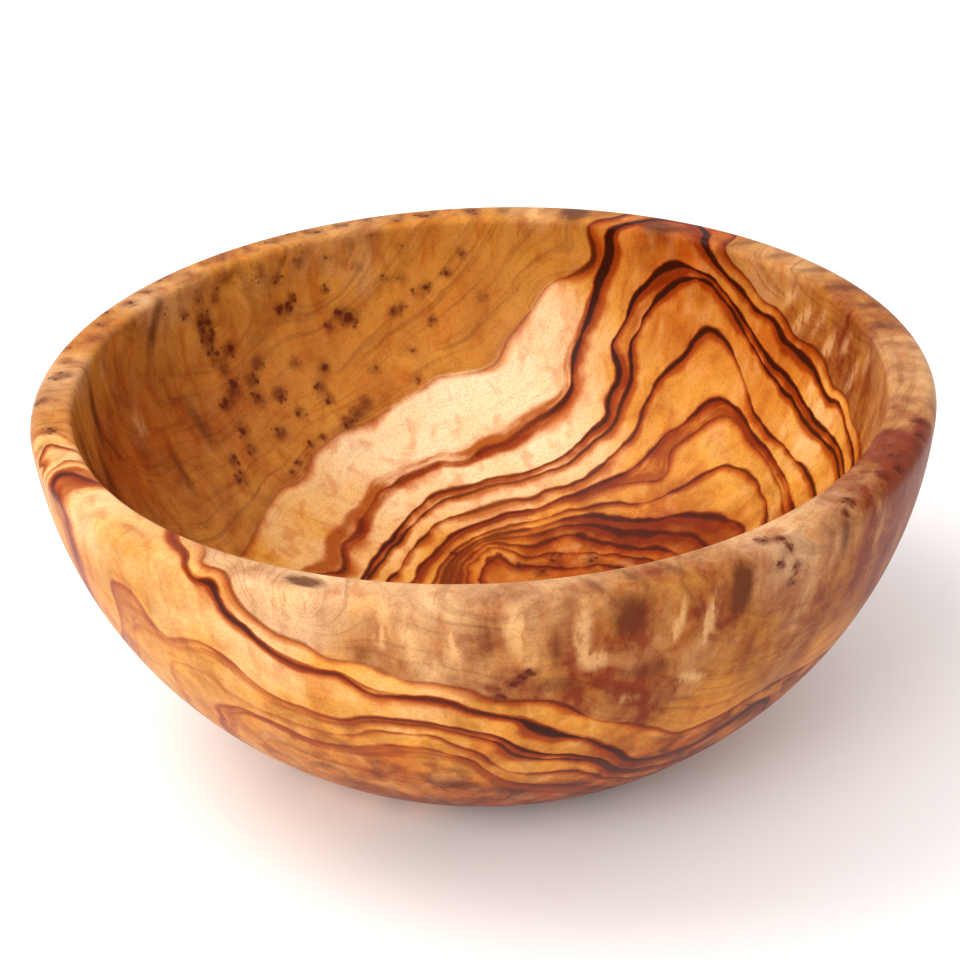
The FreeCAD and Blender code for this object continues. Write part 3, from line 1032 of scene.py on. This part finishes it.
def olive_wood():
    """Oiled olive wood: its tones, fine lines, cross figure, bands, veins, pores and burl eyes."""
    material = bpy.data.materials.new("oiled_olive_wood")
    material.use_nodes = True
    nodes = Nodes(material.node_tree)
    object_places = nodes.add("ShaderNodeTexCoord").outputs["Object"]
    places = nodes.stretched(object_places, 1 / MM, 1 / MM, 1 / MM)
    growth = wavered(nodes, places)
    burl = nodes.step(growth, -0.06, 0.02, 1.0, 0.0)
    mottle = nodes.noise(places, 0.16, 4.0, 0.62, 0.6)
    ring_lines = nodes.noise(places, 0.03, 3.0, 0.7, w=nodes.times(growth, FINE_LINES))
    fine_lines = nodes.step(ring_lines, 0.46, 0.70)
    pores = nodes.noise(places, 2.2, 4.0, 0.7)
    eyes = eye_spots(nodes, places)

    wood = plain_wood(nodes, places, burl, mottle)
    wood = with_fine_lines(nodes, wood, fine_lines, burl)
    wood = with_cross_figure(nodes, wood, places, burl)
    wood = with_bands(nodes, wood, places, growth)
    wood = with_veins(nodes, wood, places, growth)
    wood = nodes.mix(nodes.step(pores, 0.46, 0.72, 0.0, 0.50), wood, STAIN, "MULTIPLY")
    wood = with_eyes(nodes, wood, eyes, mottle)
    rough = nodes.math("MULTIPLY_ADD", pores, PORE_ROUGHNESS, ROUGHNESS)
    rough = nodes.math("ADD", rough, nodes.times(eyes, EYE_ROUGHNESS))

    shader = nodes.add("ShaderNodeBsdfPrincipled")
    nodes.put(shader.inputs["Base Color"], wood)
    nodes.put(shader.inputs["Roughness"], rough)
    nodes.put(shader.inputs["Normal"], relief(nodes, pores, eyes, fine_lines))
    shader.inputs["IOR"].default_value = OIL_IOR
    shader.inputs["Specular IOR Level"].default_value = OIL_GLOSS
    shader.inputs["Coat Weight"].default_value = COAT
    shader.inputs["Coat Roughness"].default_value = COAT_ROUGHNESS
    output = nodes.add("ShaderNodeOutputMaterial")
    nodes.put(output.inputs["Surface"], shader.outputs[0])
    return material


# ---- studio

# Sizes in bowl heights
FLOOR_SIZE = 60.0
KEY_SIZE = 7.0
FILL_SIZE = 6.0
LIGHT_TINT = (1.0, 0.98, 0.95)
WHITE = (1.0, 1.0, 1.0, 1.0)
FLOOR_DULL = (0.90, 0.885, 0.885, 1.0)
FLOOR_CLEAR = (0.92, 0.905, 0.905, 1.0)
FLOOR_ROUGHNESS = 0.85


def floor_material():
    """Matt, nearly white, and a little clouded."""
    material = bpy.data.materials.new("pale_floor")
    material.use_nodes = True
    nodes = Nodes(material.node_tree)
    places = nodes.add("ShaderNodeTexCoord").outputs["Object"]
    clouds = nodes.noise(places, 3.0, 2.0)
    shader = nodes.add("ShaderNodeBsdfPrincipled")
    shade = nodes.mix(clouds, FLOOR_DULL, FLOOR_CLEAR)
    nodes.put(shader.inputs["Base Color"], shade)
    shader.inputs["Roughness"].default_value = FLOOR_ROUGHNESS
    output = nodes.add("ShaderNodeOutputMaterial")
    nodes.put(output.inputs["Surface"], shader.outputs[0])
    return material


def studio_floor():
    """A plain floor at the height that the bowl stands on."""
    half = FLOOR_SIZE * DESIGN_HEIGHT * MM / 2
    level = cad_box[0].z
    mesh = bpy.data.meshes.new("studio_floor")
    corners = [(-half, -half, level), (half, -half, level), (half, half, level), (-half, half, level)]
    mesh.from_pydata(corners, [], [(0, 1, 2, 3)])
    mesh.materials.append(floor_material())
    plane = bpy.data.objects.new("studio_floor", mesh)
    bpy.context.collection.objects.link(plane)


def area_light(name, azimuth, elevation, distance, size, power):
    """A soft square light that looks at the bowl. Distance and size are in bowl heights, power in watts."""
    data = bpy.data.lights.new(name, "AREA")
    data.shape = "SQUARE"
    data.size = size * DESIGN_HEIGHT * MM
    data.energy = power
    data.color = LIGHT_TINT
    light = bpy.data.objects.new(name, data)
    bpy.context.collection.objects.link(light)
    flat = math.cos(math.radians(elevation))
    turn = math.radians(azimuth)
    back = Vector((math.sin(turn) * flat, -math.cos(turn) * flat, math.sin(math.radians(elevation))))
    light.location = back * distance * DESIGN_HEIGHT * MM
    light.rotation_mode = "QUATERNION"
    light.rotation_quaternion = back.to_track_quat("Z", "Y")


def studio_light():
    """A key light from the left, a lower one from the front left, and an even white surround."""
    area_light("key", 262, 63, 11.0, KEY_SIZE, 3.1)
    area_light("front_left", -30, 33, 12.0, FILL_SIZE, 2.8)
    world = bpy.data.worlds.new("studio")
    world.use_nodes = True
    background = world.node_tree.nodes["Background"]
    background.inputs["Color"].default_value = WHITE
    background.inputs["Strength"].default_value = 1.0
    bpy.context.scene.world = world
    bpy.context.scene.view_settings.view_transform = "Standard"
    bpy.context.scene.view_settings.look = "None"


LENS = 105.0
SENSOR = 36.0
CAMERA_PITCH = 28.13  # degrees down
CAMERA_ROLL = -2.29  # degrees
CAMERA_DISTANCE = 505.9  # design millimetres from the point that it looks at
CAMERA_TARGET = (-1.09, 0.0, 45.4)


def camera():
    """A long lens at the front, looking down into the bowl."""
    data = bpy.data.cameras.new("camera")
    data.lens = LENS
    data.sensor_width = SENSOR
    data.dof.use_dof = False
    pitch, roll = math.radians(CAMERA_PITCH), math.radians(CAMERA_ROLL)
    back = Vector((0, -math.cos(pitch), math.sin(pitch)))
    right = Vector((1, 0, 0))
    up = Vector((0, math.sin(pitch), math.cos(pitch)))
    across = right * math.cos(roll) + up * math.sin(roll)
    upwards = up * math.cos(roll) - right * math.sin(roll)
    place = (Vector(CAMERA_TARGET) + back * CAMERA_DISTANCE) * MM
    made = bpy.data.objects.new("camera", data)
    made.matrix_world = Matrix.Translation(place) @ Matrix((across, upwards, back)).transposed().to_4x4()
    bpy.context.collection.objects.link(made)
    bpy.context.scene.camera = made


# ---- the scene

camera()
studio_light()
studio_floor()
bowl = bpy.data.objects.new("olive_wood_bowl", bowl_mesh())
bpy.context.collection.objects.link(bowl)
bowl.data.materials.append(olive_wood())
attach(bowl, "root")
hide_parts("bowl")

bpy.context.view_layer.update()
